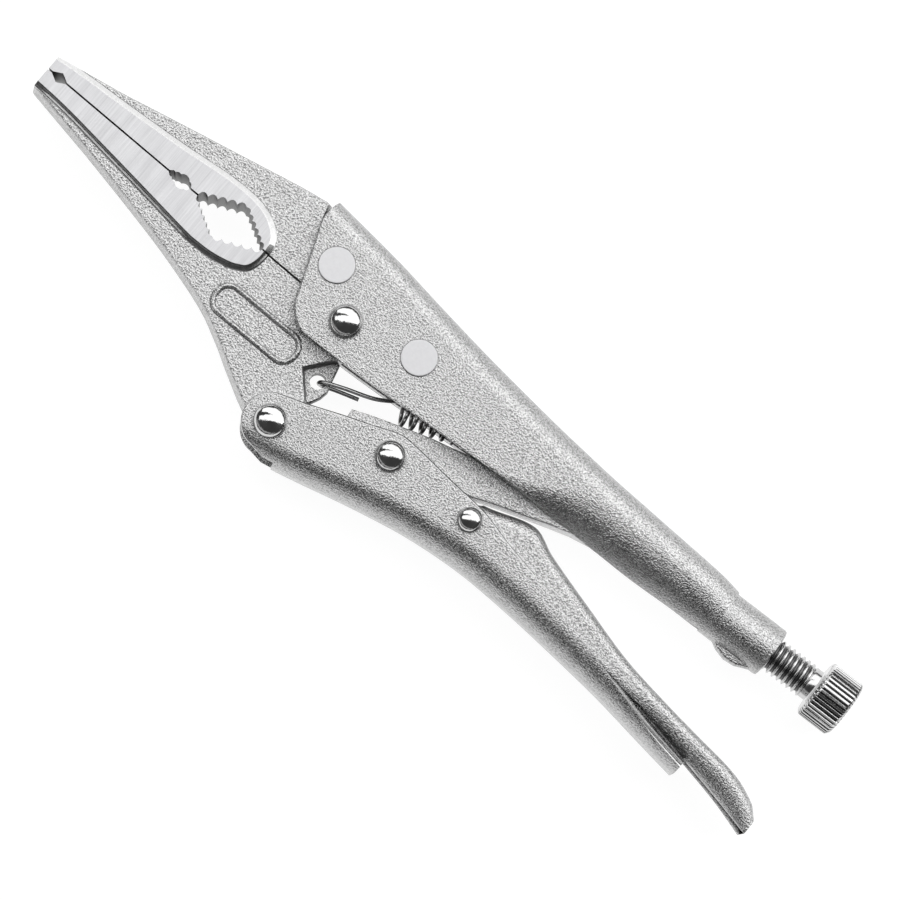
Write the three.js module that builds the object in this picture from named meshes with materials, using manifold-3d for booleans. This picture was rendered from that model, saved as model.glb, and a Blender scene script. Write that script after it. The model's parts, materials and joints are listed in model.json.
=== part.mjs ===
// Long-nose locking pliers, 165 mm class, closed and locked.
// Millimetres. The jaw pivot stands at the drawing origin while the pieces are made: X runs back
// along the tool to the adjusting screw, Y towards the back of the fixed handle, Z across the tool.
// At the end the whole tool is moved so that it lies on z = 0, centred on the origin.
import * as THREE from 'three';
import { mergeVertices } from 'three/addons/utils/BufferGeometryUtils.js';
import Module from 'manifold-3d';

const wasm = await Module();
wasm.setup();

// --- driving dimensions ---------------------------------------------------------------------
const GAP = 0.3; // clearance between neighbouring pieces
const SHEET = 1.9; // handle sheet
const WEB = 3.4; // half thickness of the forged jaws
const PAD = 4.0; // half thickness over the ground jaw pads
const EAR_IN = WEB + GAP; // inside of the handle channels
const EAR_OUT = EAR_IN + SHEET; // outside of the handle channels
const LINK_HALF = 2.7;
const LEVER_HALF = 3.4;
const LUG_HALF = 1.3;

const HANDLE_PIN = [1.0, -20.3]; // lower jaw to moving handle
const LINK_PIN = [19.5, -12.35]; // moving handle to toggle link
const LEVER_PIN = [35.9, -12.1]; // moving handle to release lever
const LINK_END = [62.0, 2.2]; // where the link bears on the screw
const RIVETS = { jaw_rivet_front: [-7.0, 6.15], jaw_rivet_rear: [12.9, 3.0] };
const SPRING_HOLE = [2.5, -9.9];
const HOOK_ROOM = 1.05; // what the spring's hook needs in that hole
const SPRING_ANCHOR = [41.0, 4.2];

const PIN_SHANK = 2.2;
const LEVER_SHANK = 1.6; // the smaller pin of the release lever
const RIVET_SHANK = 2.3;

const HUB_RADIUS = 5.4; // lower jaw knuckle round the jaw pivot
const BOSS_RADIUS = 4.3; // lower jaw round the handle pin
const EAR_RADIUS = 4.8; // moving handle round the handle pin

const SCREW_SLOPE = 0.0356; // the screw climbs slightly towards its knob
const SCREW_RADIUS = 3.0; // M6 x 1
const SCREW_PITCH = 1.0;
const SCREW_TIP = 67.2;
const THREAD_START = 77.0;
const THREAD_END = 95.0;
const KNOB_FRONT = 96.5;
const KNOB_REAR = 102.7;
const KNOB_RADIUS = 5.1;
const KNURLS = 40;
const TUBE_FRONT = 77.3;
const TUBE_REAR = 87.6;
const TUBE_RADIUS = 4.4;
const BORE_RADIUS = SCREW_RADIUS + 0.35;

const TIP_X = -63.75; // front of both jaws
const GRIP_REAR = -18.1; // back of the toothed opening
const BEYOND = 80; // cutting plates reach past the tool
const THROUGH = 10; // half height of cuts that pass right through

const WIRE_RADIUS = 0.36;
const COIL_RADIUS = 1.9; // to the middle of the wire
const COIL_START = [16.9, -4.3];
const COIL_TURNS = 13;

// Height of the line where the jaws meet, at a station x.
const partingY = (x) => 0.42 - 0.0122 * x;
const screwY = (x) => 0.07 + SCREW_SLOPE * x;

// --- finishes -------------------------------------------------------------------------------
const finish = (name, color, roughness) => {
  const material = new THREE.MeshStandardMaterial({ color, roughness, metalness: 1 });
  material.name = name;
  return material;
};
const satinNickel = () => finish('satin_nickel', 0xb9b9b7, 0.42);
const groundSteel = () => finish('ground_steel', 0xc9cacb, 0.3);
const brightNickel = () => finish('bright_nickel', 0xd6d6d4, 0.12);
const springWire = () => finish('spring_wire', 0x9a9a98, 0.25);

// --- solids ---------------------------------------------------------------------------------
function toManifold(geometry) {
  const bare = geometry.index ? geometry.toNonIndexed() : geometry.clone();
  bare.deleteAttribute('normal');
  bare.deleteAttribute('uv');
  const merged = mergeVertices(bare, 1e-4);
  return new wasm.Manifold(
    new wasm.Mesh({
      numProp: 3,
      vertProperties: new Float32Array(merged.attributes.position.array),
      triVerts: new Uint32Array(merged.index.array),
    }),
  );
}

function toGeometry(manifold) {
  const mesh = manifold.getMesh();
  const geometry = new THREE.BufferGeometry();
  geometry.setAttribute('position', new THREE.BufferAttribute(new Float32Array(mesh.vertProperties), 3));
  geometry.setIndex(new THREE.BufferAttribute(new Uint32Array(mesh.triVerts), 1));
  geometry.computeVertexNormals();
  return geometry;
}

const join = (...parts) => parts.reduce((all, part) => all.add(part));
const cut = (body, ...tools) => tools.reduce((left, tool) => left.subtract(tool), body);

// A flat plate from an outline in X and Y, between two heights.
function plate(outline, low, high) {
  const shape = new THREE.Shape(outline.map(([x, y]) => new THREE.Vector2(x, y)));
  const geometry = new THREE.ExtrudeGeometry(shape, { depth: high - low, bevelEnabled: false });
  return toManifold(geometry.translate(0, 0, low));
}

// A straight cylinder across the tool.
function crossBar([x, y], radius, low, high, segments = 28) {
  const geometry = new THREE.CylinderGeometry(radius, radius, high - low, segments).rotateX(Math.PI / 2);
  return toManifold(geometry.translate(x, y, (low + high) / 2));
}

// A round bar along the screw's line.
function barOnScrew(radius, from, to, segments) {
  const geometry = new THREE.CylinderGeometry(radius, radius, to - from, segments);
  geometry.rotateZ(-Math.PI / 2).translate((from + to) / 2, 0, 0);
  return onScrew(toManifold(geometry));
}

// Tilts a solid made along X onto the screw's line.
function onScrew(solid) {
  const tilt = THREE.MathUtils.radToDeg(Math.atan(SCREW_SLOPE));
  return solid.rotate([0, 0, tilt]).translate([0, screwY(0), 0]);
}

// The hole that a shank runs in.
const bore = (at, shank) => crossBar(at, shank + GAP, -THROUGH, THROUGH);

function arc([cx, cy], radius, from, to, steps) {
  return Array.from({ length: steps + 1 }, (_, i) => {
    const angle = THREE.MathUtils.degToRad(from + ((to - from) * i) / steps);
    return [cx + radius * Math.cos(angle), cy + radius * Math.sin(angle)];
  });
}

// A closed skin over equal rings of points, with both ends capped.
function loft(rings) {
  const count = rings[0].length;
  const positions = rings.flat(2);
  const index = [];
  for (let r = 0; r + 1 < rings.length; r += 1) {
    for (let i = 0; i < count; i += 1) {
      const a = r * count + i;
      const b = r * count + ((i + 1) % count);
      index.push(a, b, b + count, a, b + count, a + count);
    }
  }
  const outline = rings[0].map(([, y, z]) => new THREE.Vector2(z, y));
  const last = (rings.length - 1) * count;
  for (const face of THREE.ShapeUtils.triangulateShape(outline, [])) {
    const [a, b, c] = THREE.ShapeUtils.isClockWise(outline) ? face.reverse() : face;
    index.push(c, b, a, last + a, last + b, last + c);
  }
  const geometry = new THREE.BufferGeometry();
  geometry.setAttribute('position', new THREE.BufferAttribute(new Float32Array(positions), 3));
  geometry.setIndex(index);
  const solid = toManifold(geometry);
  if (solid.volume() > 0) return solid;
  geometry.setIndex(index.reverse());
  return toManifold(geometry);
}

// One ring of a folded sheet: a back of half width `half` with rounded shoulders, and two ears that
// end at `lip`. Where the ears are shallower than the shoulder they stop on its curve, and `curl`
// turns their ends in. `back` above `lip` gives a channel that opens towards -Y, and the far ear is
// shorter by `trim`.
function channelRing({ x, back, lip, half, shoulder, wall = SHEET, curl = 3, curlRadius = 3, trim = 0 }) {
  const down = Math.sign(lip - back);
  const turn = THREE.MathUtils.degToRad(curl);
  const path = (inset, depth) => {
    const sweep = Math.min(Math.PI / 2, Math.acos(1 - Math.min(1, (depth - 0.3) / shoulder)));
    const r = shoulder - inset;
    const points = [[0, inset]];
    for (let i = 0; i <= 4; i += 1) {
      const a = (sweep * i) / 4;
      points.push([half - shoulder + r * Math.sin(a), shoulder - r * Math.cos(a)]);
    }
    const [z, y] = points.at(-1);
    if (sweep < Math.PI / 2) {
      const run = (depth - (shoulder - shoulder * Math.cos(sweep))) / Math.sin(sweep);
      for (let i = 1; i <= 3; i += 1) {
        points.push([z + (run * Math.cos(sweep) * i) / 3, y + (run * Math.sin(sweep) * i) / 3]);
      }
      return points;
    }
    const rr = curlRadius - inset;
    const start = depth - curlRadius * Math.sin(turn);
    for (let i = 0; i <= 2; i += 1) {
      const a = (turn * i) / 2;
      points.push([half - curlRadius + rr * Math.cos(a), start + rr * Math.sin(a)]);
    }
    return points;
  };
  const near = Math.abs(lip - back);
  const far = near - trim;
  const place = ([z, y]) => [x, back + down * y, z];
  const mirror = ([z, y]) => [-z, y];
  return [
    ...path(0, far).slice(1).reverse().map(mirror).map(place),
    ...path(0, near).map(place),
    ...path(wall, near).slice(1).reverse().map(place),
    ...path(wall, far).map(mirror).map(place),
  ];
}

// Rings between hand-set stations, each value following a smooth curve through them.
function channel(stations, steps) {
  const keys = Object.keys(stations[0]);
  const rings = [];
  for (let s = 0; s + 1 < stations.length; s += 1) {
    const [before, a, b, after] = [s - 1, s, s + 1, s + 2].map(
      (k) => stations[Math.min(Math.max(k, 0), stations.length - 1)],
    );
    for (let i = 0; i < steps; i += 1) {
      const t = i / steps;
      rings.push(Object.fromEntries(keys.map((key) => [key, smooth(before, a, b, after, key, t)])));
    }
  }
  rings.push(stations.at(-1));
  return loft(rings.map(channelRing));
}

function smooth(before, a, b, after, key, t) {
  const span = b.x - a.x;
  if (key === 'x') return a.x + span * t;
  const slopeA = ((b[key] - before[key]) / (b.x - before.x || 1)) * span;
  const slopeB = ((after[key] - a[key]) / (after.x - a.x || 1)) * span;
  const rise = t * t * (3 - 2 * t);
  const level = a[key] + (b[key] - a[key]) * rise;
  return level + t * (1 - t) * ((1 - t) * slopeA - t * slopeB);
}

// --- jaws -----------------------------------------------------------------------------------
// Round bites along a straight flank, bulging to the left of the way it runs.
function bites([x0, y0], [x1, y1], count) {
  const points = [];
  const step = [(x1 - x0) / count, (y1 - y0) / count];
  const normal = [-step[1], step[0]];
  for (let k = 0; k < count; k += 1) {
    for (let i = 0; i < 4; i += 1) {
      const t = i / 4;
      const bulge = 1.4 * t * (1 - t);
      const along = k + t;
      points.push([
        x0 + step[0] * along + normal[0] * bulge,
        y0 + step[1] * along + normal[1] * bulge,
      ]);
    }
  }
  return points;
}

// The grip edge of one jaw from the tip to behind the pad: side +1 is the upper jaw, -1 the lower.
function gripEdge(side) {
  const on = (x, lift) => [x, partingY(x) + side * (lift + GAP / 2)];
  const flank = (from, to, count) => bites(from, to, count).map(([x, lift]) => on(x, lift));
  const apex = [side > 0 ? -24.4 : -25.7, 3.5];
  const rise = flank([-31.8, 0], apex, side > 0 ? 5 : 6);
  const fall = flank(apex, [GRIP_REAR, 0], side > 0 ? 6 : 5);
  return [
    on(-70, 0),
    on(-62.9, 0),
    on(-61.4, 0.8),
    on(-59.9, 0),
    on(-37.9, 0),
    on(-37.3, 0.3),
    on(-36.9, 0.25),
    on(-36.5, 0.6),
    on(-36.0, 0.55),
    on(-35.3, 1.05),
    on(-34.5, 0.6),
    on(-34.1, 0.4),
    on(-33.4, 0),
    ...rise,
    ...fall,
    on(GRIP_REAR, 0),
  ];
}

const PAD_OUTLINE = [
  [-63.6, 3.5],
  [-57.5, 3.9],
  [-50, 4.4],
  [-40, 5.1],
  [-31, 6.2],
  [-26, 6.4],
  [-22, 5.7],
  [-19.2, 4.4],
  [-17.7, 2.4],
  [-17.5, -0.2],
  [-18.1, -2.9],
  [-20.2, -4.5],
  [-24, -5.3],
  [-28, -5.4],
  [-40, -4.1],
  [-50, -2.9],
  [-58, -2.0],
  [-63.6, -1.7],
];

function upperJaw() {
  const tangTop = [
    [-13.4, 11.6],
    [0, 10.3],
    [10, 9.0],
    [17, 8.0],
  ];
  const blank = [
    [TIP_X, -1.7],
    [TIP_X, 3.5],
    [-63.0, 4.1],
    [-52, 6.5],
    [-40, 9.1],
    [-30, 11.2],
    [-20, 13.3],
    [-14.5, 14.2],
    ...tangTop,
    [17.2, -2.0],
    [8.6, -2.0],
    ...arc([0, 0], HUB_RADIUS + GAP, 20, 176, 14),
    [-8, -6],
  ];
  const edge = gripEdge(1);
  const rear = -5.6;
  const below = [...edge, [rear, partingY(rear) + GAP / 2], [rear, -BEYOND], [-70, -BEYOND]];
  const solid = join(plate(blank, -WEB, WEB), plate(PAD_OUTLINE, -PAD, PAD));
  const holes = Object.values(RIVETS).map((at) => bore(at, RIVET_SHANK));
  return cut(solid, plate(below, -THROUGH, THROUGH), ...holes);
}

function lowerJaw() {
  const bossStart = arc(HANDLE_PIN, BOSS_RADIUS, 24, -158, 14);
  const blank = [
    [TIP_X, 3],
    [TIP_X, -1.6],
    [-63.2, -2.7],
    [-50.6, -5.4],
    [-40.5, -7.5],
    [-30.5, -9.8],
    [-20.4, -12.8],
    [-14.5, -15.6],
    [-10.5, -17.9],
    ...bossStart.reverse(),
    [3.5, -13.6],
    [0, -9.9],
    [3.3, -5.6],
    [5.2, -1.5],
    ...arc([0, 0], HUB_RADIUS, -16, 176, 16),
    [-8, 3],
  ];
  const lug = [
    [1, -4.5],
    [3.8, -5.6],
    [4.5, -8.4],
    [4.9, -10.2],
    [4.6, -11.7],
    [3.7, -13.6],
    [2, -14.5],
    [-1, -9.9],
  ];
  const edge = gripEdge(-1);
  const rear = -5.45;
  const above = [...edge, [rear, partingY(rear) - GAP / 2], [rear, BEYOND], [-70, BEYOND]];
  const frame = plate(labelOutline(0), WEB - 0.5, WEB + 0.35);
  const solid = join(
    plate(blank, -WEB, WEB),
    plate(PAD_OUTLINE, -PAD, PAD),
    plate(lug, -LUG_HALF, LUG_HALF),
    cut(frame, plate(labelOutline(0.6), 0, WEB + 1)),
  );
  return cut(
    solid,
    plate(above, -THROUGH, THROUGH),
    bore([0, 0], PIN_SHANK),
    bore(HANDLE_PIN, PIN_SHANK),
    bore(SPRING_HOLE, HOOK_ROOM),
  );
}

// The raised frame forged on the lower jaw, left blank.
function labelOutline(inset) {
  const [x0, x1, y0, y1] = [-19.6 + inset, -3.2 - inset, -11.8 + inset, -6.9 - inset];
  const r = 2.1 - inset;
  return [
    ...arc([x1 - r, y1 - r], r, 90, 0, 5),
    ...arc([x1 - r, y0 + r], r, 0, -90, 5),
    ...arc([x0 + r, y0 + r], r, -90, -180, 5),
    ...arc([x0 + r, y1 - r], r, 180, 90, 5),
  ];
}

// --- handles --------------------------------------------------------------------------------
function fixedHandle() {
  const body = channel(
    [
      { x: -15, back: 15.1, lip: -5.9, half: EAR_OUT, shoulder: 3.4, wall: SHEET, curl: 3, trim: 0.8 },
      { x: 0, back: 13.7, lip: -5.7, half: EAR_OUT, shoulder: 3.6, wall: SHEET, curl: 3, trim: 0.8 },
      { x: 10, back: 12.4, lip: -5.2, half: EAR_OUT, shoulder: 3.9, wall: SHEET, curl: 3, trim: 0.8 },
      { x: 20, back: 11.2, lip: -4.4, half: EAR_OUT, shoulder: 4.3, wall: SHEET, curl: 3, trim: 0.8 },
      { x: 30, back: 10.2, lip: -3.8, half: 5.55, shoulder: 4.7, wall: SHEET, curl: 5, trim: 0.8 },
      { x: 40, back: 9.35, lip: -3.3, half: 5.45, shoulder: 5.0, wall: 1.8, curl: 10, trim: 0.7 },
      { x: 50, back: 8.75, lip: -3.0, half: 5.25, shoulder: 5.0, wall: 1.7, curl: 25, trim: 0.6 },
      { x: 62, back: 8.35, lip: -2.6, half: 4.95, shoulder: 4.9, wall: 1.5, curl: 48, trim: 0.5 },
      { x: 70, back: 8.1, lip: -2.0, half: 4.75, shoulder: 4.7, wall: 1.35, curl: 68, trim: 0.3 },
      { x: 76.6, back: 7.75, lip: -1.55, half: 4.65, shoulder: 4.6, wall: 1.25, curl: 80, trim: 0.1 },
    ],
    2,
  );
  const tube = barOnScrew(TUBE_RADIUS, TUBE_FRONT - 1.6, TUBE_REAR, 36);
  const tubeBore = barOnScrew(BORE_RADIUS, TUBE_FRONT - 6, TUBE_REAR + 4, 28);
  const keel = plate(
    [[78.4, 0], [78.4, -1.4], [80.2, -2.3], [82.2, -2.6], [84.4, -2.2], [86.4, -1.4], [86.4, 0]],
    -1.3,
    1.3,
  );
  const nose = [
    [-13.0, 16],
    [-13.6, 12.5],
    [-13.6, 10.2],
    [-12.0, 6.2],
    [-9.7, 0.3],
    [-8.4, -2.9],
    [-6.9, -4.6],
    [-4.0, -6.4],
    [-30, -8],
    [-30, 16],
  ];
  const holes = [bore([0, 0], PIN_SHANK), ...Object.values(RIVETS).map((at) => bore(at, RIVET_SHANK))];
  return cut(join(body, tube, keel), tubeBore, plate(nose, -THROUGH, THROUGH), ...holes);
}

function movingHandle() {
  const body = channel(
    [
      { x: -5, back: -27.5, lip: -13, half: EAR_OUT, shoulder: 3.6, wall: SHEET },
      { x: 5.6, back: -25.6, lip: -11, half: EAR_OUT, shoulder: 3.8, wall: SHEET },
      { x: 10, back: -24.6, lip: -9, half: EAR_OUT, shoulder: 4.0, wall: SHEET },
      { x: 20, back: -22.1, lip: -7.2, half: EAR_OUT, shoulder: 4.2, wall: SHEET },
      { x: 30, back: -20.1, lip: -7.5, half: EAR_OUT, shoulder: 4.4, wall: SHEET },
      { x: 40, back: -19.15, lip: -8.5, half: EAR_OUT, shoulder: 4.5, wall: SHEET },
      { x: 50, back: -19.25, lip: -12.2, half: EAR_OUT, shoulder: 4.4, wall: SHEET },
      { x: 60, back: -19.8, lip: -15.1, half: 5.6, shoulder: 4.2, wall: SHEET },
      { x: 70, back: -20.55, lip: -17.5, half: 5.7, shoulder: 4.0, wall: 1.8 },
      { x: 80, back: -21.75, lip: -20.0, half: 6.0, shoulder: 4.0, wall: 1.7 },
      { x: 87.2, back: -22.6, lip: -21.2, half: 6.0, shoulder: 4.0, wall: 1.6 },
    ],
    2,
  );
  const [px, py] = HANDLE_PIN;
  const noseX = 5.6; // where the sheet's back starts behind the ears
  const above = [
    ...arc(HANDLE_PIN, EAR_RADIUS, 270, 112, 14),
    [3.7, -14.3],
    [9.5, -11.9],
    [14, -10.2],
    [18, -8.6],
    [21, -8.3],
    [30, -9.0],
    [37, -9.5],
    [43, -10.9],
    [49.5, -12.1],
    [50, 0],
    [px - 12, 0],
    [px - 12, py - 12],
    [noseX, py - 12],
    [noseX, -25.9],
  ];
  const throatOutline = [
    [px - 8, -30],
    [noseX, -30],
    [noseX, -15],
    [px - 8, -15],
  ];
  const throat = plate(throatOutline, -EAR_IN, EAR_IN);
  return cut(
    body,
    plate(above, -THROUGH, THROUGH),
    throat,
    bore(HANDLE_PIN, PIN_SHANK),
    bore(LINK_PIN, PIN_SHANK),
    bore(LEVER_PIN, LEVER_SHANK),
  );
}

function toggleLink() {
  const outline = [
    [9.7, -10.0],
    [14, -8.3],
    [22, -5.6],
    [26, -4.5],
    [34, -2.2],
    [48, 1.9],
    ...arc(LINK_END, 2.5, 107, -70, 8),
    [50, -2.9],
    [44, -4.9],
    [33.5, -8.8],
    [26, -13.5],
    ...arc(LINK_PIN, 4.0, -30, -150, 7),
    [9.9, -11.9],
  ];
  return cut(plate(outline, -LINK_HALF, LINK_HALF), bore(LINK_PIN, PIN_SHANK));
}

function releaseLever() {
  const body = channel(
    [
      { x: 31.5, back: -8.0, lip: -14.6, half: LEVER_HALF, shoulder: 2.0, wall: 1.3 },
      { x: 36, back: -8.3, lip: -15.4, half: LEVER_HALF, shoulder: 2.2, wall: 1.3 },
      { x: 44.8, back: -5.5, lip: -15.4, half: LEVER_HALF, shoulder: 2.6, wall: 1.3 },
      { x: 50, back: -7.4, lip: -15.2, half: LEVER_HALF, shoulder: 3.0, wall: 1.3 },
      { x: 60, back: -10.3, lip: -15.8, half: LEVER_HALF, shoulder: 3.2, wall: 1.3 },
      { x: 70, back: -12.9, lip: -17.0, half: LEVER_HALF, shoulder: 3.2, wall: 1.3 },
      { x: 80, back: -14.4, lip: -18.5, half: LEVER_HALF, shoulder: 3.3, wall: 1.4 },
      { x: 86, back: -15.1, lip: -19.6, half: 3.6, shoulder: 3.4, wall: 1.5 },
      { x: 95, back: -16.2, lip: -21.3, half: 4.0, shoulder: 3.7, wall: 1.6 },
      { x: 100, back: -18.3, lip: -22.3, half: 4.2, shoulder: 3.9, wall: 1.6 },
      { x: 102, back: -20.8, lip: -22.7, half: 4.2, shoulder: 3.9, wall: 1.5 },
    ],
    2,
  );
  const front = [
    [30, 0],
    [30, -20],
    [45, -20],
    [37.5, -15.4],
    ...arc(LEVER_PIN, 3.0, -100, -210, 8),
    [36, -8.6],
    [38, 0],
  ];
  return cut(body, plate(front, -THROUGH, THROUGH), bore(LEVER_PIN, LEVER_SHANK));
}

// --- rivets and pins ------------------------------------------------------------------------
// A rivet across the tool: domed in front where `dome` is above zero, flat behind.
function rivet([x, y], shank, head, dome, tail) {
  const seat = EAR_OUT + 0.3;
  const profile = [
    [0, -seat - tail],
    [head - 0.25, -seat - tail],
    [head, -seat - tail + 0.25],
    [head, -seat],
    [shank, -seat],
    [shank, seat],
    [head, seat],
    [head, seat + 0.3],
  ];
  if (dome > 0) {
    for (let i = 1; i <= 4; i += 1) {
      const a = (Math.PI / 2) * (i / 4);
      profile.push([head * Math.cos(a), seat + 0.3 + dome * Math.sin(a)]);
    }
  } else {
    profile.push([0, seat + 0.3]);
  }
  profile[profile.length - 1][0] = 0;
  const geometry = new THREE.LatheGeometry(profile.map(([r, s]) => new THREE.Vector2(r, s)), 20);
  return toManifold(geometry.rotateX(Math.PI / 2).translate(x, y, 0));
}

// --- screw, knob and spring -----------------------------------------------------------------
// One closed threaded shank: a core whose radius follows the thread as it winds.
function screwShank() {
  const around = 16;
  const perTurn = 3;
  const rows = Math.round(((THREAD_END - 1 - THREAD_START) / SCREW_PITCH) * perTurn);
  const depth = 0.55;
  const root = SCREW_RADIUS - 0.5;
  const collar = SCREW_RADIUS - 0.1;
  const rings = [];
  const ring = (s, radiusAt) =>
    rings.push(
      Array.from({ length: around }, (_, i) => {
        const a = (2 * Math.PI * i) / around;
        const r = radiusAt(i / around);
        return [s, r * Math.cos(a), r * Math.sin(a)];
      }),
    );
  ring(SCREW_TIP, () => SCREW_RADIUS - 1.1);
  ring(SCREW_TIP + 0.6, () => root);
  ring(THREAD_START, () => root);
  for (let k = 1; k <= rows; k += 1) {
    const phase = (turn) => Math.abs(((k / perTurn + 1 - turn) % 1) - 0.5) * 2;
    ring(THREAD_START + (k * SCREW_PITCH) / perTurn, (turn) => SCREW_RADIUS - depth * (1 - phase(turn)));
  }
  ring(THREAD_END - 0.6, () => root);
  ring(THREAD_END - 0.4, () => collar);
  ring(KNOB_FRONT - GAP, () => collar);
  return onScrew(loft(rings));
}

function screwKnob() {
  const count = KNURLS * 2;
  const outline = Array.from({ length: count }, (_, i) => {
    const a = (2 * Math.PI * i) / count;
    const r = i % 2 ? KNOB_RADIUS - 0.32 : KNOB_RADIUS;
    return [r * Math.cos(a), r * Math.sin(a)];
  });
  const ring = (s, scale) => outline.map(([y, z]) => [s, y * scale, z * scale]);
  const flat = 0.91;
  const rings = [
    ring(KNOB_FRONT, flat),
    ring(KNOB_FRONT + 0.5, 1),
    ring(KNOB_REAR - 0.5, 1),
    ring(KNOB_REAR, flat),
  ];
  return onScrew(loft(rings));
}

class SpringPath extends THREE.Curve {
  constructor() {
    super();
    const [x0, y0] = COIL_START;
    const direction = new THREE.Vector2(SPRING_ANCHOR[0] - x0, SPRING_ANCHOR[1] - y0);
    this.length = direction.length() - 4;
    this.axis = new THREE.Vector3(direction.x, direction.y, 0).normalize();
    this.side = new THREE.Vector3(-this.axis.y, this.axis.x, 0);
    this.leg = new THREE.CatmullRomCurve3([
      new THREE.Vector3(9.3, -7.5, -2.2),
      new THREE.Vector3(5.6, -8.7, -2.1),
      new THREE.Vector3(3.4, -9.6, -1.7),
      new THREE.Vector3(2.7, -9.9, 0),
      new THREE.Vector3(3.4, -9.5, 1.8),
      new THREE.Vector3(6.5, -8.0, 2.2),
      new THREE.Vector3(11.5, -5.7, 1.6),
      this.coil(0),
    ]);
  }

  coil(t) {
    const angle = Math.PI / 2 + 2 * Math.PI * COIL_TURNS * t;
    const start = new THREE.Vector3(...COIL_START, 0);
    return start
      .addScaledVector(this.axis, this.length * t)
      .addScaledVector(this.side, COIL_RADIUS * Math.sin(angle))
      .add(new THREE.Vector3(0, 0, COIL_RADIUS * Math.cos(angle)));
  }

  getPoint(t) {
    const legShare = 0.2;
    return t < legShare ? this.leg.getPoint(t / legShare) : this.coil((t - legShare) / (1 - legShare));
  }
}

function returnSpring() {
  const corners = arc([0, 0], WIRE_RADIUS, 0, 288, 4).map(([x, y]) => new THREE.Vector2(x, y));
  const options = { steps: 165, bevelEnabled: false, extrudePath: new SpringPath() };
  return new THREE.ExtrudeGeometry(new THREE.Shape(corners), options);
}

// --- assembly -------------------------------------------------------------------------------
const pliers = new THREE.Group();

function add(name, solid, material) {
  const geometry = solid instanceof THREE.BufferGeometry ? solid : toGeometry(solid);
  const mesh = new THREE.Mesh(geometry, material);
  mesh.name = name;
  pliers.add(mesh);
}

add('fixed_handle', fixedHandle(), satinNickel());
add('upper_jaw', upperJaw(), groundSteel());
add('lower_jaw', lowerJaw(), groundSteel());
for (const [name, at] of Object.entries(RIVETS)) {
  add(name, rivet(at, RIVET_SHANK, 3.0, 0, 0.3), satinNickel());
}
add('jaw_pivot_pin', rivet([0, 0], PIN_SHANK, 2.85, 1.5, 1.0), brightNickel());
add('moving_handle', movingHandle(), satinNickel());
add('handle_pin', rivet(HANDLE_PIN, PIN_SHANK, 2.85, 1.5, 1.0), brightNickel());
add('link_pin', rivet(LINK_PIN, PIN_SHANK, 2.6, 1.4, 1.0), brightNickel());
add('lever_pin', rivet(LEVER_PIN, LEVER_SHANK, 2.1, 1.1, 1.0), brightNickel());
add('toggle_link', toggleLink(), satinNickel());
add('release_lever', releaseLever(), satinNickel());
add('return_spring', returnSpring(), springWire());
add('spring_anchor', crossBar(SPRING_ANCHOR, 0.9, -3.2, 3.2, 16), springWire());
add('adjusting_screw', screwShank(), brightNickel());
add('screw_knob', screwKnob(), brightNickel());

const box = new THREE.Box3().setFromObject(pliers);
const centre = box.getCenter(new THREE.Vector3());
pliers.position.set(-centre.x, -centre.y, -box.min.z);
export default pliers;
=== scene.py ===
import json
import math

import bmesh
import bpy
from mathutils import Matrix, Vector


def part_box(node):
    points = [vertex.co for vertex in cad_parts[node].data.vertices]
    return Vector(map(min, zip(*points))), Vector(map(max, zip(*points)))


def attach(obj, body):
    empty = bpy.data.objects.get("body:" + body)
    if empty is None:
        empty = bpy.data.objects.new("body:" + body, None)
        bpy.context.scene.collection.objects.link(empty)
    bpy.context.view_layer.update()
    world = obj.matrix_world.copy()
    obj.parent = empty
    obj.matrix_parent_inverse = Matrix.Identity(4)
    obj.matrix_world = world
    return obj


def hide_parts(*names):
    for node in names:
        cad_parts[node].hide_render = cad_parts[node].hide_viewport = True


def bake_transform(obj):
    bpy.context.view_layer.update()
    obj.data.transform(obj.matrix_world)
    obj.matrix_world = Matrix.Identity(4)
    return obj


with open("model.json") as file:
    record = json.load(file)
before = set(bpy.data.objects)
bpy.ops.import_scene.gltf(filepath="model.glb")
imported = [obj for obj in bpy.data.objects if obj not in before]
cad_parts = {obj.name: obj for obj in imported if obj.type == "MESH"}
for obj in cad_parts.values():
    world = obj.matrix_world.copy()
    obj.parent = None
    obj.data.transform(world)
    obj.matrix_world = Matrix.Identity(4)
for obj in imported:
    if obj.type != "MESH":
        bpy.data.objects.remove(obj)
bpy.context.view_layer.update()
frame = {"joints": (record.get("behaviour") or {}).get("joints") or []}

# Pieces are drawn in millimetres from the jaw pivot: x runs back to the adjusting screw,
# y towards the back of the fixed handle, z up through the tool. settle() puts them in the frame.
mm = 0.001
joints = {joint["name"]: joint for joint in frame["joints"]}
pivot = Vector(joints["jaw_open"]["pos_m"])


def drawn(spot):
    local = (Vector(spot) - pivot) / mm
    return local.x, local.y


def middleOf(node):
    low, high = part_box(node)
    return drawn((low + high) / 2)


handlePin = drawn(joints["handle_swing"]["pos_m"])
linkPin = drawn(joints["link_swing"]["pos_m"])
leverPin = drawn(joints["lever_squeeze"]["pos_m"])
rivetSpots = [middleOf("jaw_rivet_front"), middleOf("jaw_rivet_rear")]
anchorSpot = middleOf("spring_anchor")
screwAxis = Vector(joints["screw_travel"]["axis"]).normalized()
screwSlope = screwAxis.y / screwAxis.x
screwLift = drawn(joints["knob_turn"]["pos_m"])[1] - screwSlope * drawn(joints["knob_turn"]["pos_m"])[0]

fits = {
    "earIn": 3.7, "earOut": 5.6, "lever": 3.4,  # half widths: handles inside and outside, lever
    "gap": 0.3, "pinBore": 2.5, "leverBore": 1.9, "rivetBore": 2.6,
    "beyond": 12,  # how far a cutter reaches from the tool's middle
}


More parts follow.
